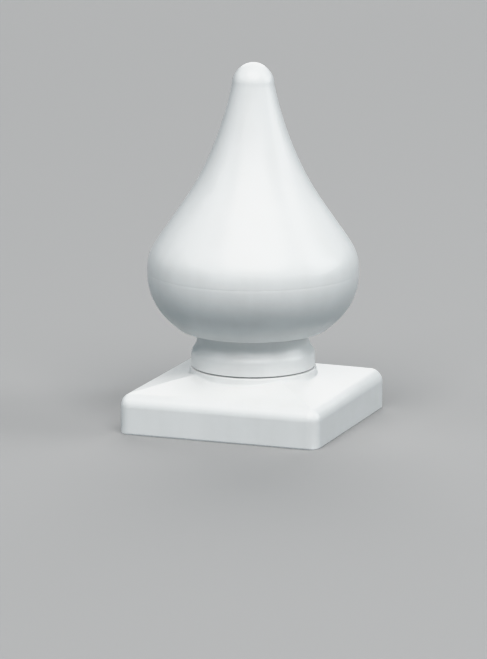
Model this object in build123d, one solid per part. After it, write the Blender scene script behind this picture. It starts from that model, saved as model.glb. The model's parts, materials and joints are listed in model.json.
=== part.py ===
from build123d import *
import math
import os

# Cap for a 4 x 4 in vinyl fence post, with a hollow turned finial that screws down on its roof.
# Millimetres. z = 0 is the plane of the skirt's lower rim. The finial's axis is the z axis.

# Square cap, and the post that it slips over
POST_SIDE = 101.6
POST_CLEARANCE = 0.5
WALL = 3.0
CAP_SIDE = POST_SIDE + 2 * (POST_CLEARANCE + WALL)
CORNER_RADIUS = 6.0
INNER_CORNER_RADIUS = 1.5
EAVE_HEIGHT = 19.6
EAVE_RADIUS = 6.8
INNER_EAVE_RADIUS = 1.9
ROOF_SLOPE = 14.0
RIM_RADIUS = 0.8
POST_STOP = 14.0

# Round seat in the middle of the roof
SEAT_RADIUS = 33.0
SEAT_TOP = 29.0
SEAT_EDGE_RADIUS = 0.6
SEAT_FOOT_RADIUS = 1.2
PILOT_RADIUS = 20.5
PILOT_WIDTH = 2.5
PILOT_HEIGHT = 3.0
PILOT_CHAMFER = 0.8
RECESS_RADIUS = 13.5
RECESS_FLOOR = 25.0

# Underside of the cap
BOSS_RADIUS = 19.0
BOSS_BOTTOM = 21.0
HEAD_ROOM_RADIUS = 17.0
RIB_THICKNESS = 2.0
RIB_BARS = 2
GRIP_RADIUS = 1.0
GRIP_HEIGHT = 0.45
GRIP_OFFSET = 32.0
GRIP_BOTTOM = 2.0

# 5/16-18 UNC fasteners
THREAD_RADIUS = 3.97
THREAD_PITCH = 25.4 / 18
THREAD_CLEARANCE = 0.06
BOLT_HOLE_RADIUS = 4.4
HEX_ACROSS_FLATS = 12.7
HEX_CHAMFER = 0.7
HEAD_HEIGHT = 5.2
NUT_HEIGHT = 4.76
TIP_CHAMFER = 0.9
WASHER_THICKNESS = 1.6
WASHER_HOLE_RADIUS = 4.35
FENDER_RADIUS = 15.9
FLAT_RADIUS = 8.7
LOCK_RADIUS = 7.45
LOCK_HOLE_RADIUS = 4.1
LOCK_THICKNESS = 2.0
LOCK_GAP = 1.0
LOCK_LEAN = 25.0

# Gasket under the finial's foot
GASKET_THICKNESS = 0.8
GASKET_RADIUS = 31.3
GASKET_CLEARANCE = 0.3

# Foot and neck of the finial
SHELL = 3.0
FOOT_BOTTOM = SEAT_TOP + GASKET_THICKNESS
FOOT_RADIUS = 32.2
FOOT_RIM_TOP = 35.0
SOLE_THICKNESS = 2.5
COLLAR_RADIUS = 23.5
COLLAR_WIDTH = 2.0
COLLAR_DROP = 0.7
NECK_RADIUS = 29.2
NECK_HEIGHT = 43.5
LEDGE_RADIUS = 30.0
LEDGE_HEIGHT = 48.4
SPIGOT_RADIUS = 23.8
SPIGOT_TOP = 56.0
DECK_BOTTOM = 50.0
DECK_TOP = 53.0

# Threaded insert in the neck's boss
ENGAGED_TURNS = 9
INSERT_RADIUS = 5.5
INSERT_BOTTOM = 37.0
INSERT_TOP = INSERT_BOTTOM + ENGAGED_TURNS * THREAD_PITCH
INSERT_GROOVE = 0.5
INSERT_BOSS_RADIUS = 9.0
INSERT_BOSS_TOP = 55.0
GUSSET_THICKNESS = 2.0
GUSSET_BARS = 3
GUSSET_BOTTOM = 42.0

# Outlines of the bulb, as (radius, height) points that pull smooth curves.
# Each curve takes four points, and the next one starts where it ends.
BULB_RADIUS = 54.8
BULB_HEIGHT = 79.3
BOWL_CURVES = [(39.2, 50.0), (43.6, 53.8), (BULB_RADIUS, 61.5), (BULB_RADIUS, BULB_HEIGHT)]
CROWN_CURVES = [
    (BULB_RADIUS, BULB_HEIGHT),
    (BULB_RADIUS, 91.5),
    (51.5, 92.3),
    (34.5, 117.8),
    (18.0, 142.5),
    (11.3, 173.0),
    (10.8, 178.0),
    (10.3, 183.0),
    (5.8, 188.0),
    (0.0, 188.0),
]

# Glued laps: bowl to crown, and spigot to bowl
LAP_HEIGHT = 5.0
LEDGE_ROUND = 1.6
LAP_WIDTH = 2.0
LAP_CLEARANCE = 0.5
SPIGOT_CLEARANCE = 0.2

FLOOR = (Align.CENTER, Align.CENTER, Align.MIN)


def disc(radius, bottom, top):
    """Upright cylinder about the vertical axis."""
    return Pos(0, 0, bottom) * Cylinder(radius, top - bottom, align=FLOOR)


def ring(outer, inner, bottom, top):
    """Round ring about the vertical axis."""
    return disc(outer, bottom, top) - disc(inner, bottom, top)


def bars(count, length, thickness, bottom, top):
    """Upright bars that cross on the vertical axis, evenly turned."""
    bar = Pos(0, 0, bottom) * Box(length, thickness, top - bottom, align=FLOOR)
    crossed = Part()
    for turn in range(count):
        crossed += Rot(0, 0, turn * 180 / count) * bar
    return crossed


def hexagon(bottom, top, chamfered):
    """Hexagonal head or nut blank, with the corners turned off on the chosen ends."""
    outline = RegularPolygon(HEX_ACROSS_FLATS / 2, 6, major_radius=False)
    blank = Pos(0, 0, bottom) * extrude(outline, top - bottom)
    turning = disc(HEX_ACROSS_FLATS / math.sqrt(3), bottom, top)
    ends = [turning.edges().group_by(Axis.Z)[end] for end in chamfered]
    return blank & chamfer(ends, HEX_CHAMFER)


def flatten(edges):
    """One list of the edges of an outline, from single edges and lists of them."""
    return [edge for item in edges for edge in (item if isinstance(item, list) else [item])]


def run(*points):
    """Straight runs of a turned outline, through (radius, height) points."""
    return Polyline(*[(radius, 0, height) for radius, height in points])


def curves(points):
    """Smooth run of a turned outline: every three further points pull one more curve."""
    placed = [(radius, 0, height) for radius, height in points]
    return [Bezier(*placed[start:start + 4]) for start in range(0, len(placed) - 1, 3)]


def turned(*edges):
    """Solid turned about the vertical axis from a closed outline."""
    return revolve(make_face(flatten(edges)), Axis.Z)


def half_section(half_width, eave, top, eave_radius, rim_radius):
    """Half of an upright section under the hipped roof: x is outwards and y is up."""
    slope = math.tan(math.radians(ROOF_SLOPE))
    reach = min(half_width, (top - eave) / slope)
    peak = eave + reach * slope
    corners = [(0, 0), (half_width, 0), (half_width, eave), (half_width - reach, peak), (0, peak)]
    if reach == half_width:
        corners.pop()
    outline = make_face(Polyline(*corners, close=True))
    edge = outline.vertices().sort_by_distance((half_width, eave))[0]
    outline = fillet(edge, eave_radius)
    if rim_radius:
        rim = outline.vertices().sort_by_distance((half_width, 0))[0]
        outline = fillet(rim, rim_radius)
    return outline


def roofed_block(side, corner, eave, top, eave_radius, rim_radius=0):
    """Square block with round corners, under a low hipped roof that is cut off flat."""
    half = half_section(side / 2, eave, top, eave_radius, rim_radius)
    gable = extrude(Plane.XZ * (half + mirror(half, Plane.YZ)), side / 2, both=True)
    hipped = gable & Rot(0, 0, 90) * gable
    between_corners = side - 2 * corner
    straight_sides = Rectangle(side, between_corners) + Rectangle(between_corners, side)
    block = hipped & extrude(straight_sides, top)
    round_corner = revolve(Plane.XZ * half_section(corner, eave, top, eave_radius, rim_radius))
    for place in GridLocations(between_corners, between_corners, 2, 2):
        block += place * round_corner
    return block


def meets_seat(edge):
    """Whether an edge is one of those where the round seat rises out of the roof."""
    on_seat = [abs(math.hypot(end.X, end.Y) - SEAT_RADIUS) < 0.01 for end in edge.vertices()]
    return all(on_seat) and edge.geom_type == GeomType.ELLIPSE


def base_cap():
    """Moulded square cap: skirt, hipped roof, round seat, and the ribs that stop the post."""
    lean = math.radians(ROOF_SLOPE)
    block = roofed_block(CAP_SIDE, CORNER_RADIUS, EAVE_HEIGHT, SEAT_TOP, EAVE_RADIUS, RIM_RADIUS)
    seat = disc(SEAT_RADIUS, EAVE_HEIGHT, SEAT_TOP)
    block += fillet(seat.edges().group_by(Axis.Z)[-1], SEAT_EDGE_RADIUS)
    block = fillet(block.edges().filter_by(meets_seat), SEAT_FOOT_RADIUS)
    pilot_top = SEAT_TOP + PILOT_HEIGHT
    pilot = disc(PILOT_RADIUS, SEAT_TOP, pilot_top)
    pilot = chamfer(pilot.edges().group_by(Axis.Z)[-1], PILOT_CHAMFER)
    pilot -= disc(PILOT_RADIUS - PILOT_WIDTH, SEAT_TOP, pilot_top)

    inner_side = CAP_SIDE - 2 * WALL
    inner_eave = EAVE_HEIGHT + WALL * math.tan(lean) - WALL / math.cos(lean)
    inner_top = SEAT_TOP - WALL
    hollow = roofed_block(
        inner_side, INNER_CORNER_RADIUS, inner_eave, inner_top, INNER_EAVE_RADIUS
    )
    ribs = bars(RIB_BARS, 2 * inner_side, RIB_THICKNESS, POST_STOP, SEAT_TOP)
    ribs -= disc(HEAD_ROOM_RADIUS, POST_STOP, BOSS_BOTTOM)
    stiffening = (ribs + disc(BOSS_RADIUS, BOSS_BOTTOM, SEAT_TOP)) & hollow

    cap = block - hollow + stiffening + pilot
    cap -= disc(RECESS_RADIUS, RECESS_FLOOR, SEAT_TOP)
    cap -= disc(BOLT_HOLE_RADIUS, BOSS_BOTTOM, RECESS_FLOOR)
    return cap + grip_ribs(inner_side / 2)


def grip_ribs(inner_half):
    """Small half-round ribs up the inside of the skirt, which grip the post: two on each wall."""
    rib = disc(GRIP_RADIUS, GRIP_BOTTOM, POST_STOP)
    sunk = GRIP_RADIUS - GRIP_HEIGHT
    ribs = Part()
    for wall in range(4):
        for side in (-1, 1):
            ribs += Rot(0, 0, wall * 90) * Pos(inner_half + sunk, side * GRIP_OFFSET, 0) * rib
    return ribs


def centre_bolt():
    """Hex bolt that stands up through the cap and carries the finial."""
    head_top = BOSS_BOTTOM - WASHER_THICKNESS
    shank = disc(THREAD_RADIUS, head_top, INSERT_TOP)
    shank = chamfer(shank.edges().group_by(Axis.Z)[-1], TIP_CHAMFER)
    return hexagon(head_top - HEAD_HEIGHT, head_top, chamfered=[0]) + shank


def fender_washer():
    """Wide washer under the bolt's head."""
    return ring(FENDER_RADIUS, WASHER_HOLE_RADIUS, BOSS_BOTTOM - WASHER_THICKNESS, BOSS_BOTTOM)


def flat_washer():
    """Washer on the floor of the seat's recess."""
    return ring(FLAT_RADIUS, WASHER_HOLE_RADIUS, RECESS_FLOOR, RECESS_FLOOR + WASHER_THICKNESS)


def lock_washer():
    """Split spring washer under the nut."""
    bottom = RECESS_FLOOR + WASHER_THICKNESS
    top = bottom + LOCK_THICKNESS
    slot = Box(2 * LOCK_RADIUS, LOCK_GAP, 3 * LOCK_THICKNESS)
    slot = Pos(LOCK_RADIUS, 0, (bottom + top) / 2) * Rot(LOCK_LEAN, 0, 0) * slot
    return ring(LOCK_RADIUS, LOCK_HOLE_RADIUS, bottom, top) - slot


def clamp_nut():
    """Thin hex nut that clamps the bolt to the cap."""
    bottom = RECESS_FLOOR + WASHER_THICKNESS + LOCK_THICKNESS
    top = bottom + NUT_HEIGHT
    bore = disc(THREAD_RADIUS + THREAD_CLEARANCE, bottom, top)
    return hexagon(bottom, top, chamfered=[0, -1]) - bore


def foot_gasket():
    """Thin ring between the cap's seat and the finial's foot."""
    return ring(GASKET_RADIUS, COLLAR_RADIUS + GASKET_CLEARANCE, SEAT_TOP, FOOT_BOTTOM)


def neck_pedestal():
    """Foot and neck of the finial, with the boss that holds the threaded insert."""
    collar_inside = COLLAR_RADIUS - COLLAR_WIDTH
    collar_bottom = FOOT_BOTTOM - COLLAR_DROP
    sole_top = FOOT_BOTTOM + SOLE_THICKNESS
    neck_inside = NECK_RADIUS - SHELL
    spigot_inside = SPIGOT_RADIUS - SHELL
    sole = run(
        (collar_inside, collar_bottom),
        (COLLAR_RADIUS, collar_bottom),
        (COLLAR_RADIUS, FOOT_BOTTOM),
        (FOOT_RADIUS, FOOT_BOTTOM),
        (FOOT_RADIUS, FOOT_RIM_TOP),
    )
    waist = (FOOT_RIM_TOP + NECK_HEIGHT) / 2
    flare = (NECK_HEIGHT + LEDGE_HEIGHT) / 2
    cove = curves([
        (FOOT_RADIUS, FOOT_RIM_TOP),
        (FOOT_RADIUS, waist),
        (NECK_RADIUS, waist),
        (NECK_RADIUS, NECK_HEIGHT),
        (NECK_RADIUS, flare),
        (NECK_RADIUS, LEDGE_HEIGHT),
        (LEDGE_RADIUS, LEDGE_HEIGHT),
    ])
    inside = run(
        (LEDGE_RADIUS, LEDGE_HEIGHT),
        (SPIGOT_RADIUS, LEDGE_HEIGHT),
        (SPIGOT_RADIUS, SPIGOT_TOP),
        (spigot_inside, SPIGOT_TOP),
        (spigot_inside, DECK_TOP),
        (0, DECK_TOP),
        (0, DECK_BOTTOM),
        (spigot_inside, DECK_BOTTOM),
        (spigot_inside, LEDGE_HEIGHT),
        (neck_inside, NECK_HEIGHT),
        (neck_inside, sole_top + SHELL),
        (neck_inside + SHELL, sole_top),
        (collar_inside, sole_top),
        (collar_inside, collar_bottom),
    )
    pedestal = turned(sole, cove, inside)
    pedestal += disc(INSERT_BOSS_RADIUS, INSERT_BOTTOM, INSERT_BOSS_TOP)
    gusset_length = 2 * spigot_inside + SHELL
    pedestal += bars(GUSSET_BARS, gusset_length, GUSSET_THICKNESS, GUSSET_BOTTOM, DECK_BOTTOM)
    pedestal -= disc(INSERT_RADIUS, INSERT_BOTTOM, INSERT_TOP)
    return pedestal - disc(BOLT_HOLE_RADIUS, INSERT_TOP, INSERT_TOP + SHELL)


def threaded_insert():
    """Brass insert in the neck's boss, with a retaining groove round its middle."""
    bore = THREAD_RADIUS + THREAD_CLEARANCE
    middle = (INSERT_BOTTOM + INSERT_TOP) / 2
    groove_inside = INSERT_RADIUS - INSERT_GROOVE
    groove = ring(INSERT_RADIUS, groove_inside, middle - INSERT_GROOVE, middle + INSERT_GROOVE)
    return ring(INSERT_RADIUS, bore, INSERT_BOTTOM, INSERT_TOP) - groove


def inset(points, distance):
    """Points of an outline moved to its left, at right angles to their neighbours' line."""
    moved = []
    for before, point, after in zip([points[0], *points], points, [*points[1:], points[-1]]):
        step = (after[0] - before[0], after[1] - before[1])
        scale = distance / math.hypot(*step)
        moved.append((point[0] - scale * step[1], point[1] + scale * step[0]))
    return moved


def finial_bowl():
    """Lower shell of the bulb, with the ledge that sits on the neck and a lap at the top."""
    inner_points = inset(BOWL_CURVES, SHELL)
    hole = SPIGOT_RADIUS + SPIGOT_CLEARANCE
    rim = run(BOWL_CURVES[-1], inner_points[-1])
    floor = run(
        inner_points[0],
        (LEDGE_RADIUS, LEDGE_HEIGHT + SHELL),
        (hole, LEDGE_HEIGHT + SHELL),
        (hole, LEDGE_HEIGHT),
        (LEDGE_RADIUS, LEDGE_HEIGHT),
    )
    ledge = curves([
        (LEDGE_RADIUS, LEDGE_HEIGHT),
        (LEDGE_RADIUS + SHELL, LEDGE_HEIGHT),
        (BOWL_CURVES[0][0] - LEDGE_ROUND, BOWL_CURVES[0][1] - LEDGE_ROUND),
        BOWL_CURVES[0],
    ])
    lap_outside = BULB_RADIUS - SHELL - LAP_CLEARANCE
    lap_inside = lap_outside - LAP_WIDTH
    bowl = turned(ledge, curves(BOWL_CURVES), rim, curves(inner_points), floor)
    bowl += ring(BULB_RADIUS - SHELL / 2, lap_inside, BULB_HEIGHT - LAP_HEIGHT, BULB_HEIGHT)
    return bowl + ring(lap_outside, lap_inside, BULB_HEIGHT, BULB_HEIGHT + LAP_HEIGHT)


def finial_crown():
    """Upper shell of the finial, from the widest line to the nose."""
    inner_points = inset(CROWN_CURVES, SHELL)
    axis = run(CROWN_CURVES[-1], inner_points[-1])
    rim = run(inner_points[0], CROWN_CURVES[0])
    return turned(curves(CROWN_CURVES), axis, curves(inner_points), rim)


SUB_PARTS = (
    base_cap,
    centre_bolt,
    fender_washer,
    flat_washer,
    lock_washer,
    clamp_nut,
    foot_gasket,
    neck_pedestal,
    threaded_insert,
    finial_bowl,
    finial_crown,
)

os.makedirs("parts", exist_ok=True)
for make in SUB_PARTS:
    export_step(make(), f"parts/{make.__name__}.step")
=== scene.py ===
"""Looks for a fence post cap with a screw-on finial.

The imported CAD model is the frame: same origin and axes, in metres. The moulded cap and the finial's
pedestal are CAD parts with better materials. The thin shells, the gasket and the fasteners are
replaced by finer meshes, with real threads, a knurl, chamfers and soft edges.
"""

import json
import math

import bmesh
import bpy
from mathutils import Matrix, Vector


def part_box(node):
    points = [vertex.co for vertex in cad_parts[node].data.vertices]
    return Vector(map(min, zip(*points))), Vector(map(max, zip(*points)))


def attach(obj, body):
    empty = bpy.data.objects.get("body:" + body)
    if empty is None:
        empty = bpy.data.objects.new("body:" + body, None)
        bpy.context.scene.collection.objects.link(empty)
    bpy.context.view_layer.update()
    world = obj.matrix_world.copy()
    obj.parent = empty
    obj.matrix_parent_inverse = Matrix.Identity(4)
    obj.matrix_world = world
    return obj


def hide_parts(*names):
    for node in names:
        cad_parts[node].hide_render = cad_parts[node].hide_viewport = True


MM = 0.001
WELD = 1e-7
TURN = 2 * math.pi

# Edges that are sharper than this stay sharp, in degrees
SHARP_TURNED = 35
SHARP_MACHINED = 25

# Outlines of the bulb in millimetres, as in the CAD: (radius, height) points that pull curves
BULB_RADIUS = 54.8
BULB_HEIGHT = 79.3
BOWL_CURVES = [(39.2, 50.0), (43.6, 53.8), (BULB_RADIUS, 61.5), (BULB_RADIUS, BULB_HEIGHT)]
CROWN_CURVES = [
    (BULB_RADIUS, BULB_HEIGHT),
    (BULB_RADIUS, 91.5),
    (51.5, 92.3),
    (34.5, 117.8),
    (18.0, 142.5),
    (11.3, 173.0),
    (10.8, 178.0),
    (10.3, 183.0),
    (5.8, 188.0),
    (0.0, 188.0),
]
SHELL = 3.0
SPIGOT_RADIUS = 23.8
SPIGOT_CLEARANCE = 0.2
LEDGE_RADIUS = 30.0
LEDGE_ROUND = 1.6
LEDGE_STEPS = 12
SEAM_RADIUS = 0.03
LAP_WIDTH = 2.0
LAP_CLEARANCE = 0.5
LAP_HEIGHT = 5.0
LAP_SLOPE = 0.5
SHELL_COLUMNS = 216
CURVE_STEPS = 36

# Rubber ring round the finial's collar
GASKET_HOLE_RADIUS = 23.8
GASKET_ROUNDING = 0.35

# 5/16-18 UNC thread, in millimetres. A phase is a place along the thread, in pitches from a crest.
THREAD_PITCH = 25.4 / 18
THREAD_RADIUS = 3.97
THREAD_DEPTH = 0.6134 * THREAD_PITCH
THREAD_MINOR_RADIUS = 3.27
THREAD_CLEARANCE = 0.06
CREST_HALF = 1 / 16
FLANK_SLOPE = math.sqrt(3)
THREAD_STEPS = 16
THREAD_COLUMNS = 96

# Fasteners
HEX_ACROSS_FLATS = 12.7
HEX_FACE = 0.94
HEX_CHAMFER_SLOPE = math.tan(math.radians(30))
WASHER_FACE = 0.35
HEAD_DISH_RADIUS = 4.2
HEAD_DISH_FLOOR = 0.8 * HEAD_DISH_RADIUS
HEAD_DISH_DEPTH = 0.3
WASHER_HOLE_RADIUS = 4.35
WASHER_COLUMNS = 128
PUNCHED_RADIUS = 0.35
BURR_RADIUS = 0.08
LOCK_HOLE_RADIUS = 4.1
LOCK_INNER_ROUNDING = 0.15
LOCK_OUTER_ROUNDING = 0.25
LOCK_GAP = 1.0
LOCK_LEAN = math.radians(25)
LOCK_COLUMNS = 90
KNURLS = 30
KNURL_COLUMNS = 4
KNURL_DEPTH = 0.3
INSERT_CHAMFER = 0.6
GROOVE_HALF = 0.7
GROOVE_DEPTH = 0.7


# ---------------------------------------------------------------- mesh tools


class Surface:
    """Points, in millimetres, and faces of one piece, gathered grid by grid."""

    def __init__(self):
        self.points = []
        self.faces = []

    def add(self, grid, around=True, rise=0):
        """Joins neighbouring columns of points. Around, the last joins the first, some rows up."""
        start = len(self.points)
        rows = len(grid[0])
        for column in grid:
            self.points.extend(column)
        for here in range(len(grid) if around else len(grid) - 1):
            there = (here + 1) % len(grid)
            up = rise if there == 0 else 0
            for row in range(rows - 1 - up):
                low = start + here * rows + row
                across = start + there * rows + row + up
                self.faces.append((low, across, across + 1, low + 1))

    def cap(self, ring):
        """Closes a ring of points with one face."""
        start = len(self.points)
        self.points.extend(ring)
        self.faces.append(tuple(range(start, start + len(ring))))

    def piece(self, name, sharp=SHARP_TURNED):
        """The finished object: doubled points joined, and smooth but for its sharp edges."""
        mesh = bpy.data.meshes.new(name)
        mesh.from_pydata([Vector(point) * MM for point in self.points], [], self.faces)
        form = bmesh.new()
        form.from_mesh(mesh)
        bmesh.ops.remove_doubles(form, verts=form.verts, dist=WELD)
        bmesh.ops.dissolve_degenerate(form, edges=form.edges, dist=WELD)
        stray = [edge for edge in form.edges if not edge.link_faces]
        bmesh.ops.delete(form, geom=stray, context="EDGES")
        bmesh.ops.recalc_face_normals(form, faces=form.faces)
        form.to_mesh(mesh)
        form.free()
        mesh.shade_smooth()
        mesh.set_sharp_from_angle(angle=math.radians(sharp))
        made = bpy.data.objects.new(name, mesh)
        bpy.context.scene.collection.objects.link(made)
        return made


def polar(radius, angle, height):
    """Point at a radius and an angle round the vertical axis."""
    return (radius * math.cos(angle), radius * math.sin(angle), height)


def angles(columns):
    """Even angles round the axis."""
    return [TURN * column / columns for column in range(columns)]


def revolved(outline, columns):
    """Grid of a (radius, height) outline turned about the vertical axis."""
    return [[polar(r, angle, z) for r, z in outline] for angle in angles(columns)]


def curve(points, steps=CURVE_STEPS):
    """Points along a chain of cubic curves: every three further points pull one more curve."""
    line = [Vector(points[0])]
    for first in range(0, len(points) - 1, 3):
        a, b, c, d = (Vector(point) for point in points[first:first + 4])
        for step in range(1, steps + 1):
            t = step / steps
            s = 1 - t
            line.append(s ** 3 * a + 3 * s * s * t * b + 3 * s * t * t * c + t ** 3 * d)
    return [tuple(point) for point in line]


def inside(outline, distance):
    """An outline moved to its left by a distance, and kept off the far side of the axis."""
    moved = []
    for before, point, after in zip([outline[0], *outline], outline, [*outline[1:], outline[-1]]):
        along = (Vector(after) - Vector(before)).normalized()
        moved.append((max(0.0, point[0] - distance * along.y), point[1] + distance * along.x))
    return moved


def softened(corners, steps=5):
    """Closed outline with corners rounded: (radius, height, rounding), the last left out if sharp."""
    outline = []
    for index, corner in enumerate(corners):
        here = Vector(corner[:2])
        rounding = corner[2] if len(corner) > 2 else 0
        if not rounding:
            outline.append(tuple(here))
            continue
        back = (Vector(corners[index - 1][:2]) - here).normalized()
        on = (Vector(corners[(index + 1) % len(corners)][:2]) - here).normalized()
        half = back.angle(on) / 2
        centre = here + (back + on).normalized() * rounding / math.sin(half)
        start = here + back * rounding / math.tan(half) - centre
        end = here + on * rounding / math.tan(half) - centre
        for step in range(steps + 1):
            outline.append(tuple(centre + start.slerp(end, step / steps).normalized() * rounding))
    return [*outline, outline[0]]


def turned_piece(name, corners, columns=SHELL_COLUMNS):
    """Piece turned about the vertical axis from a closed outline."""
    surface = Surface()
    surface.add(revolved(softened(corners), columns))
    return surface.piece(name)


def heights(node):
    """Bottom and top of a CAD node, in millimetres."""
    low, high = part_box(node)
    return low.z / MM, high.z / MM


def radius_of(node):
    """Outer radius of a round CAD node, in millimetres."""
    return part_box(node)[1].y / MM


# ---------------------------------------------------------------- threads and hexagons


def thread_at(phase):
    """Radius of the bolt's thread: flat crest, 60 degree flanks and a flat root."""
    from_crest = abs((phase + 0.5) % 1 - 0.5)
    cut = (from_crest - CREST_HALF) * THREAD_PITCH * FLANK_SLOPE
    return THREAD_RADIUS - min(max(cut, 0.0), THREAD_DEPTH)


def inner_thread_at(phase):
    """Radius of the thread in a nut: it fills the bolt's grooves down to the minor radius."""
    return max(thread_at(phase) + THREAD_CLEARANCE, THREAD_MINOR_RADIUS)


def thread_phases():
    """Phases of the rows in one pitch, close together and with one at each edge of the thread."""
    root_edge = CREST_HALF + THREAD_DEPTH / THREAD_PITCH / FLANK_SLOPE
    edges = [-CREST_HALF, CREST_HALF, root_edge, 1 - root_edge, 1 - CREST_HALF]
    quarter = THREAD_STEPS // 4
    phases = []
    for low, high in zip(edges, edges[1:]):
        phases += [low + (high - low) * step / quarter for step in range(quarter)]
    return phases


def add_thread(surface, bottom, top, profile, end_radius, columns):
    """Threaded wall that runs out at 45 degrees to the same radius at both ends."""
    outward = 1 if profile is thread_at else -1
    first = math.floor(bottom / THREAD_PITCH) - 1
    last = math.ceil(top / THREAD_PITCH) + 1
    phases = [turn + phase for turn in range(first, last) for phase in thread_phases()]
    grid = []
    for angle in angles(columns):
        column = []
        for phase in phases:
            height = THREAD_PITCH * (phase + angle / TURN)
            height = min(max(height, bottom), top)
            run_out = end_radius * outward + min(height - bottom, top - height)
            radius = outward * min(outward * profile(phase), run_out)
            column.append(polar(radius, angle, height))
        grid.append(column)
    surface.add(grid, rise=THREAD_STEPS)


def hex_radius(angle):
    """Radius of a hexagon with a corner on the x axis."""
    from_flat = angle % (TURN / 6) - TURN / 12
    return HEX_ACROSS_FLATS / 2 / math.cos(from_flat)


def hex_side(angle, bottom, top, ends):
    """Side of a nut or head at an angle, with its corners turned off at the chosen ends."""
    face = HEX_ACROSS_FLATS / 2 * HEX_FACE
    radius = hex_radius(angle)
    drop = (radius - face) * HEX_CHAMFER_SLOPE
    side = [(face, bottom), (radius, bottom + drop)] if "bottom" in ends else [(radius, bottom)]
    side += [(radius, top - drop), (face, top)] if "top" in ends else [(radius, top)]
    return side


# ---------------------------------------------------------------- pieces


def crown_shell():
    """Upper shell of the finial, from the seam at its widest line to the nose."""
    outer = curve(CROWN_CURVES)
    inner = inside(outer, SHELL)
    rim = [(*inner[0], SEAM_RADIUS), (*outer[0], SEAM_RADIUS)]
    return turned_piece("crown_shell", [*rim, *outer[1:], *reversed(inner[1:])])


def bowl_shell():
    """Lower shell of the bulb: ledge on the neck, curved wall, seam and the lap inside the crown."""
    bottom = heights("finial_bowl")[0]
    outer = curve(BOWL_CURVES)
    inner = inside(outer, SHELL)
    ledge = curve([
        (LEDGE_RADIUS, bottom),
        (LEDGE_RADIUS + SHELL, bottom),
        (BOWL_CURVES[0][0] - LEDGE_ROUND, BOWL_CURVES[0][1] - LEDGE_ROUND),
        BOWL_CURVES[0],
    ], steps=LEDGE_STEPS)
    hole = SPIGOT_RADIUS + SPIGOT_CLEARANCE
    lap_outside = BULB_RADIUS - SHELL - LAP_CLEARANCE
    lap_inside = lap_outside - LAP_WIDTH
    lap_top = BULB_HEIGHT + LAP_HEIGHT
    lap = [
        (BULB_RADIUS, BULB_HEIGHT, SEAM_RADIUS),
        (lap_outside, BULB_HEIGHT, SEAM_RADIUS),
        (lap_outside, lap_top, LAP_CLEARANCE),
        (lap_inside, lap_top, LAP_CLEARANCE),
        (lap_inside, BULB_HEIGHT - LAP_HEIGHT),
    ]
    slope_foot = BULB_HEIGHT - LAP_HEIGHT - LAP_SLOPE
    below_lap = [point for point in reversed(inner) if point[1] < slope_foot]
    floor = [(LEDGE_RADIUS, bottom + SHELL), (hole, bottom + SHELL), (hole, bottom)]
    return turned_piece("bowl_shell", [*ledge, *outer[1:-1], *lap, *below_lap, *floor])


def gasket():
    """Thin rubber ring between the cap's seat and the finial's foot, with soft edges."""
    bottom, top = heights("foot_gasket")
    outside = radius_of("foot_gasket")
    hole = GASKET_HOLE_RADIUS
    edge = (top - bottom) * GASKET_ROUNDING
    corners = [(hole, bottom), (outside, bottom), (outside, top), (hole, top)]
    return turned_piece("gasket_ring", [(*corner, edge) for corner in corners])


def washer(node):
    """Punched flat washer: soft upper edges, and sharp ones where the punch broke through."""
    bottom, top = heights(node)
    outside = radius_of(node)
    hole = WASHER_HOLE_RADIUS
    corners = [
        (hole, bottom, BURR_RADIUS),
        (outside, bottom, BURR_RADIUS),
        (outside, top, PUNCHED_RADIUS),
        (hole, top, PUNCHED_RADIUS),
    ]
    return turned_piece(node + "_punched", corners, columns=WASHER_COLUMNS)


def split_washer():
    """Spring lock washer, cut through on a slant and pressed flat under the nut."""
    bottom, top = heights("lock_washer")
    outside = radius_of("lock_washer")
    middle = (bottom + top) / 2
    section = softened([
        (LOCK_HOLE_RADIUS, bottom, LOCK_INNER_ROUNDING),
        (outside, bottom, LOCK_OUTER_ROUNDING),
        (outside, top, LOCK_OUTER_ROUNDING),
        (LOCK_HOLE_RADIUS, top, LOCK_INNER_ROUNDING),
    ], steps=3)
    half_gap = LOCK_GAP / 2 / outside
    grid = []
    for step in range(LOCK_COLUMNS + 1):
        angle = half_gap + (TURN - 2 * half_gap) * step / LOCK_COLUMNS
        column = []
        for radius, height in section:
            slant = (height - middle) * math.tan(LOCK_LEAN) / outside
            column.append(polar(radius, angle - slant, height))
        grid.append(column)
    surface = Surface()
    surface.add(grid, around=False)
    surface.cap(grid[0][:-1])
    surface.cap(grid[-1][:-1])
    return surface.piece("split_washer")


def bolt():
    """Hex bolt threaded along its whole shank, with a dished head."""
    bottom, top = heights("centre_bolt")
    head_top = heights("fender_washer")[0]
    root = THREAD_RADIUS - THREAD_DEPTH
    face = HEX_ACROSS_FLATS / 2 * HEX_FACE
    surface = Surface()
    grid = []
    for angle in angles(THREAD_COLUMNS):
        outline = [
            (0, bottom + HEAD_DISH_DEPTH),
            (HEAD_DISH_FLOOR, bottom + HEAD_DISH_DEPTH),
            (HEAD_DISH_RADIUS, bottom),
            *hex_side(angle, bottom, head_top - WASHER_FACE, ends=["bottom"]),
            (face, head_top - WASHER_FACE),
            (face, head_top),
            (root, head_top),
        ]
        grid.append([polar(radius, angle, height) for radius, height in outline])
    surface.add(grid)
    add_thread(surface, head_top, top, thread_at, root, THREAD_COLUMNS)
    surface.add(revolved([(root, top), (0, top)], THREAD_COLUMNS))
    return surface.piece("threaded_bolt", sharp=SHARP_MACHINED)


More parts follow.
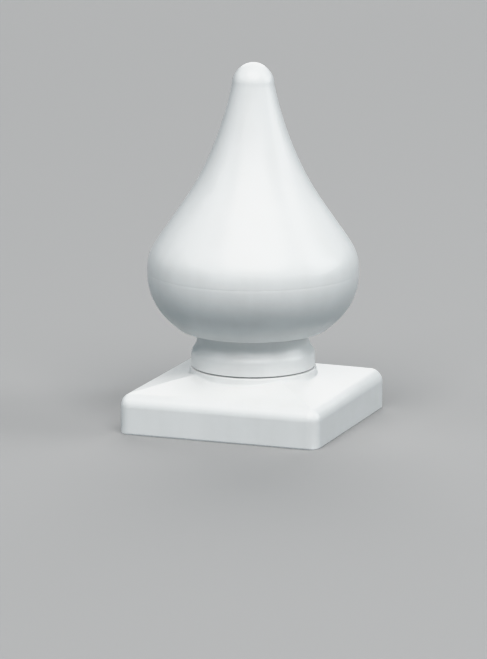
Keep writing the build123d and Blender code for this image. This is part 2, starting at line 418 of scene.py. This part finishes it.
def nut():
    """Hex nut, chamfered at both ends and threaded through."""
    bottom, top = heights("clamp_nut")
    mouth = THREAD_RADIUS + 2 * THREAD_CLEARANCE
    surface = Surface()
    grid = []
    for angle in angles(THREAD_COLUMNS):
        side = hex_side(angle, bottom, top, ends=["bottom", "top"])
        outline = [(mouth, bottom), *side, (mouth, top)]
        grid.append([polar(radius, angle, height) for radius, height in outline])
    surface.add(grid)
    add_thread(surface, bottom, top, inner_thread_at, mouth, THREAD_COLUMNS)
    return surface.piece("threaded_nut", sharp=SHARP_MACHINED)


def insert():
    """Brass insert for moulding in: straight knurl with a groove round its middle, and a thread."""
    bottom, top = heights("threaded_insert")
    middle = (bottom + top) / 2
    outside = radius_of("threaded_insert")
    mouth = THREAD_RADIUS + 2 * THREAD_CLEARANCE
    columns = KNURLS * KNURL_COLUMNS
    surface = Surface()
    grid = []
    for index, angle in enumerate(angles(columns)):
        ridge = KNURL_DEPTH if index % KNURL_COLUMNS == 0 else 0
        knurl = outside - KNURL_DEPTH + ridge
        waist = outside - GROOVE_DEPTH
        outline = [
            (mouth, bottom),
            (outside - INSERT_CHAMFER, bottom),
            (knurl, bottom + INSERT_CHAMFER),
            (knurl, middle - GROOVE_HALF),
            (waist, middle - GROOVE_HALF),
            (waist, middle + GROOVE_HALF),
            (knurl, middle + GROOVE_HALF),
            (knurl, top - INSERT_CHAMFER),
            (outside - INSERT_CHAMFER, top),
            (mouth, top),
        ]
        grid.append([polar(radius, angle, height) for radius, height in outline])
    surface.add(grid)
    add_thread(surface, bottom, top, inner_thread_at, mouth, columns)
    return surface.piece("knurled_insert", sharp=SHARP_MACHINED)


# ---------------------------------------------------------------- materials

# Roughness is 0.28 or more: when it varied from 0.25 to 0.29, the render showed outlined patches

RAIN_DIRT = (0.66, 0.65, 0.61, 1)
DUST = (0.62, 0.6, 0.55, 1)


class Shading:
    """A principled material and short ways to add nodes to it."""

    def __init__(self, name, **constants):
        self.material = bpy.data.materials.new(name)
        self.material.use_nodes = True
        self.tree = self.material.node_tree
        self.shader = self.tree.nodes["Principled BSDF"]
        for socket, value in constants.items():
            self.shader.inputs[socket.replace("_", " ")].default_value = value
        self.place = self.add("TexCoord").outputs["Object"]

    def add(self, kind, inputs=None, **settings):
        """A new node, with its inputs set to values or linked to other nodes' sockets."""
        made = self.tree.nodes.new("ShaderNode" + kind)
        for name, value in settings.items():
            setattr(made, name, value)
        for socket, value in (inputs or {}).items():
            self.set(made.inputs[socket], value)
        return made

    def set(self, socket, value):
        """Links an input to a socket, or sets it to a value."""
        if isinstance(value, bpy.types.NodeSocket):
            self.tree.links.new(value, socket)
        else:
            socket.default_value = value

    def math(self, operation, *values, clamp=False):
        """Result of a math node."""
        inputs = dict(enumerate(values))
        return self.add("Math", inputs, operation=operation, use_clamp=clamp).outputs[0]

    def remap(self, value, low, high, to_low, to_high):
        """A value moved smoothly from one range to another."""
        inputs = {"Value": value, "From Min": low, "From Max": high, "To Min": to_low, "To Max": to_high}
        return self.add("MapRange", inputs, interpolation_type="SMOOTHSTEP").outputs["Result"]

    def noise(self, size, detail=2.0, stretch=(1, 1, 1), roughness=0.5):
        """Noise whose blobs have about that size in millimetres."""
        moved = self.add("Mapping", {"Vector": self.place, "Scale": stretch}).outputs["Vector"]
        inputs = {"Vector": moved, "Scale": 1 / (size * MM), "Detail": detail, "Roughness": roughness}
        return self.add("TexNoise", inputs).outputs["Fac"]

    def blend(self, factor, first, second):
        """One colour turning into another with a factor."""
        made = self.add("Mix", data_type="RGBA")
        for index, value in ((0, factor), (6, first), (7, second)):
            self.set(made.inputs[index], value)
        return made.outputs[2]

    def relief(self, height, depth, under=None):
        """Bump of a height field whose full depth is in millimetres."""
        inputs = {"Height": height, "Distance": depth * MM, "Strength": 1.0}
        if under:
            inputs["Normal"] = under
        return self.add("Bump", inputs).outputs["Normal"]

    def finish(self, colour, roughness, normal):
        """Links the shader and gives the material."""
        self.set(self.shader.inputs["Base Color"], colour)
        self.set(self.shader.inputs["Roughness"], roughness)
        self.set(self.shader.inputs["Normal"], normal)
        return self.material


def colour_of(record, name, shade=1.0):
    """Base colour of one of the record's material slots, made darker or lighter."""
    slot = next(entry for entry in record["materials"] if entry["slot"] == name)
    return (*(channel * shade for channel in slot["base_color"]), 1.0)


def vinyl(record):
    """Glossy white moulded vinyl that has stood outdoors: orange peel, flow, rain and dust."""
    paint = Shading("white_vinyl_moulded", IOR=1.53)
    clean = colour_of(record, "white_vinyl")
    mottled = paint.blend(
        paint.remap(paint.noise(24, detail=3), 0.35, 0.65, 0.0, 1.0),
        clean,
        colour_of(record, "white_vinyl", 0.965),
    )
    streaks = paint.noise(9, detail=2, stretch=(1, 1, 0.08))
    rained = paint.blend(paint.remap(streaks, 0.4, 0.8, 0.0, 0.10), mottled, RAIN_DIRT)
    normal = paint.add("NewGeometry").outputs["Normal"]
    upward = paint.add("SeparateXYZ", {"Vector": normal}).outputs["Z"]
    settled = paint.remap(upward, 0.75, 1.0, 0.0, 1.0)
    speckle = paint.remap(paint.noise(1.6, detail=5, roughness=0.7), 0.45, 0.7, 0.03, 0.12)
    dusty = paint.blend(paint.math("MULTIPLY", settled, speckle), rained, DUST)
    sheen = paint.remap(paint.noise(45, detail=3), 0.3, 0.7, 0.29, 0.32)
    wiped = paint.remap(paint.noise(5, detail=2), 0.3, 0.7, -0.008, 0.008)
    dulled = paint.math("MULTIPLY", settled, 0.05)
    gloss = paint.math("ADD", paint.math("ADD", sheen, wiped), dulled)
    waves = paint.relief(paint.noise(30, detail=1), 0.10)
    peel = paint.relief(paint.noise(2.4, detail=1), 0.010, waves)
    return paint.finish(dusty, gloss, peel)


def rubber(record):
    """Matt grey sheet rubber with a fine grain."""
    paint = Shading("gasket_rubber_sheet", IOR=1.48)
    tone = paint.blend(
        paint.remap(paint.noise(2.5, detail=5), 0.35, 0.65, 0.0, 1.0),
        colour_of(record, "gasket_rubber"),
        colour_of(record, "gasket_rubber", 0.82),
    )
    matt = paint.remap(paint.noise(1.0, detail=3), 0.3, 0.7, 0.62, 0.78)
    grain = paint.relief(paint.noise(0.35, detail=3), 0.02)
    return paint.finish(tone, matt, grain)


def metal(name, record, slot, dark, low, high, grain):
    """Machined metal: faint blotches, and fine lines that run round the axis."""
    paint = Shading(name, Metallic=1.0)
    blotches = paint.remap(paint.noise(7, detail=3), 0.3, 0.7, 0.0, 1.0)
    tone = paint.blend(blotches, colour_of(record, slot), colour_of(record, slot, dark))
    parts = paint.add("SeparateXYZ", {"Vector": paint.place}).outputs
    across = paint.math("MULTIPLY", parts["X"], parts["X"])
    along = paint.math("MULTIPLY", parts["Y"], parts["Y"])
    radius = paint.math("SQRT", paint.math("ADD", across, along))
    rings = paint.add("CombineXYZ", {"X": radius, "Z": parts["Z"]}).outputs["Vector"]
    inputs = {"Vector": rings, "Scale": 1 / (grain * MM), "Detail": 3.0}
    lines = paint.add("TexNoise", inputs).outputs["Fac"]
    turned = paint.remap(lines, 0.3, 0.7, low, high)
    dulled = paint.math("MULTIPLY", blotches, 0.06)
    rough = paint.math("ADD", turned, dulled)
    return paint.finish(tone, rough, paint.relief(lines, 0.012))


def dress(node, material):
    """Gives a carried-over CAD node its material."""
    for place in node.material_slots:
        place.material = material


# ---------------------------------------------------------------- studio

CAMERA_AZIMUTH = math.radians(20.257)
CAMERA_ELEVATION = math.radians(12.058)
CAMERA_DISTANCE = 2.458
CAMERA_LENS = 258.92
AIM_HEIGHT = 47.99 * MM
AIM_LEFT = 4.965 * MM
SENSOR = 36.0
FLOOR_HALF = 12.0
FLOOR_GAP = 0.2 * MM
FLOOR_GREY = (0.37, 0.37, 0.37)
WARM = (1.0, 0.973, 0.962)
SKY = (0.55, 0.86, 1.0)
SKY_STRENGTH = 0.14


def towards(azimuth, elevation):
    """Unit vector to a light or camera. Azimuth 0 is in front, and 90 degrees is on the right."""
    level = math.cos(elevation)
    return Vector((math.sin(azimuth) * level, -math.cos(azimuth) * level, math.sin(elevation)))


def add_camera():
    """Long-lens camera, level in roll, a little above the object."""
    data = bpy.data.cameras.new("camera")
    data.lens = CAMERA_LENS
    data.sensor_width = SENSOR
    data.clip_end = 4 * FLOOR_HALF
    camera = bpy.data.objects.new("camera", data)
    bpy.context.scene.collection.objects.link(camera)
    out = towards(CAMERA_AZIMUTH, CAMERA_ELEVATION)
    right = Vector((math.cos(CAMERA_AZIMUTH), math.sin(CAMERA_AZIMUTH), 0))
    aim = Vector((0, 0, AIM_HEIGHT)) - AIM_LEFT * right
    camera.location = aim + CAMERA_DISTANCE * out
    camera.rotation_euler = out.to_track_quat("Z", "Y").to_euler()
    bpy.context.scene.camera = camera


def softbox(name, azimuth, elevation, distance, size, power, colour=(1, 1, 1), aim=(0, 0, 0.07)):
    """Square or oblong area light that faces the object."""
    data = bpy.data.lights.new(name, "AREA")
    data.shape = "RECTANGLE"
    data.size, data.size_y = size
    data.energy = power
    data.color = colour
    lamp = bpy.data.objects.new(name, data)
    bpy.context.scene.collection.objects.link(lamp)
    out = towards(CAMERA_AZIMUTH + math.radians(azimuth), math.radians(elevation))
    lamp.location = Vector(aim) + distance * out
    lamp.rotation_euler = out.to_track_quat("Z", "Y").to_euler()
    return lamp


def add_lights():
    """Soft light from above and in front, weaker light all round, and a glow under the cap."""
    softbox("key", azimuth=0, elevation=54, distance=8.0, size=(9.0, 6.0), power=840, colour=WARM)
    softbox("left_fill", azimuth=-75, elevation=38, distance=3.0, size=(1.2, 1.2), power=8)
    softbox("front_fill", azimuth=-30, elevation=3, distance=2.6, size=(1.4, 0.9), power=5)
    softbox("right_rim", azimuth=84, elevation=26, distance=2.4, size=(0.8, 1.6), power=17)
    softbox("glint", azimuth=102, elevation=20, distance=2.4, size=(0.22, 0.5), power=4)
    softbox("back_fill", azimuth=180, elevation=30, distance=4, size=(3, 2), power=60, colour=WARM)
    side = 2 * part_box("base_cap")[1].x
    glow = softbox("under_cap", 0, -90, FLOOR_GAP / 2, size=(side, side), power=0.02, aim=(0, 0, 0))
    # It faces straight up, square to the cap
    glow.rotation_euler = (math.pi, 0, 0)
    glow.visible_camera = False


def add_world():
    """Even, faintly blue light from all round, and a paler backdrop for the camera."""
    world = bpy.data.worlds.new("studio")
    world.use_nodes = True
    nodes, links = world.node_tree.nodes, world.node_tree.links
    light = nodes["Background"]
    light.inputs["Color"].default_value = (*SKY, 1)
    light.inputs["Strength"].default_value = SKY_STRENGTH
    backdrop = nodes.new("ShaderNodeBackground")
    backdrop.inputs["Color"].default_value = (*FLOOR_GREY, 1)
    mix = nodes.new("ShaderNodeMixShader")
    links.new(nodes.new("ShaderNodeLightPath").outputs["Is Camera Ray"], mix.inputs[0])
    links.new(light.outputs[0], mix.inputs[1])
    links.new(backdrop.outputs[0], mix.inputs[2])
    links.new(mix.outputs[0], nodes["World Output"].inputs["Surface"])
    bpy.context.scene.world = world
    bpy.context.scene.view_settings.view_transform = "Khronos PBR Neutral"


def add_floor():
    """Wide pale floor, clear from below so that the underside can be looked at."""
    half = FLOOR_HALF
    mesh = bpy.data.meshes.new("floor")
    flat = [(-half, -half), (half, -half), (half, half), (-half, half)]
    mesh.from_pydata([(x, y, -FLOOR_GAP) for x, y in flat], [], [(0, 1, 2, 3)])
    floor = bpy.data.objects.new("floor", mesh)
    bpy.context.scene.collection.objects.link(floor)
    floor.visible_diffuse = False
    paint = Shading("floor_paper", Roughness=0.85, Base_Color=(*FLOOR_GREY, 1))
    tree = paint.tree
    clear = tree.nodes.new("ShaderNodeBsdfTransparent")
    mix = tree.nodes.new("ShaderNodeMixShader")
    below = paint.add("NewGeometry").outputs["Backfacing"]
    tree.links.new(below, mix.inputs[0])
    tree.links.new(paint.shader.outputs[0], mix.inputs[1])
    tree.links.new(clear.outputs[0], mix.inputs[2])
    tree.links.new(mix.outputs[0], tree.nodes["Material Output"].inputs["Surface"])
    mesh.materials.append(paint.material)


# ---------------------------------------------------------------- assembly


def stand_in(piece, body, node, material):
    """A finer piece takes a CAD node's place on its body."""
    piece.data.materials.append(material)
    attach(piece, body)
    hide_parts(node)


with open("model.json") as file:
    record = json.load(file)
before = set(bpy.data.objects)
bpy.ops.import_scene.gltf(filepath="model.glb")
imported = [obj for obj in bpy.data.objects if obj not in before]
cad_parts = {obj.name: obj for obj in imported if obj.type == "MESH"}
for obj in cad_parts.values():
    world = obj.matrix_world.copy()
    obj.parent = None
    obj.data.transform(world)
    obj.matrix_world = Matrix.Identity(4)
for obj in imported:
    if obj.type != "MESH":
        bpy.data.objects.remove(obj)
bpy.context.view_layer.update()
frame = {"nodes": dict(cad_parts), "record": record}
record = frame["record"]

white = vinyl(record)
steel = metal("stainless_satin", record, "stainless_steel", 0.88, 0.28, 0.4, grain=0.25)
brass = metal("brass_turned", record, "brass", 0.82, 0.28, 0.38, grain=0.3)
grey_rubber = rubber(record)

dress(frame["nodes"]["base_cap"], white)
dress(frame["nodes"]["neck_pedestal"], white)
stand_in(crown_shell(), "finial", "finial_crown", white)
stand_in(bowl_shell(), "finial", "finial_bowl", white)
stand_in(insert(), "finial", "threaded_insert", brass)
stand_in(gasket(), "gasket", "foot_gasket", grey_rubber)
stand_in(bolt(), "cap", "centre_bolt", steel)
stand_in(nut(), "cap", "clamp_nut", steel)
stand_in(split_washer(), "cap", "lock_washer", steel)
stand_in(washer("fender_washer"), "cap", "fender_washer", steel)
stand_in(washer("flat_washer"), "cap", "flat_washer", steel)

add_floor()
add_world()
add_lights()
add_camera()
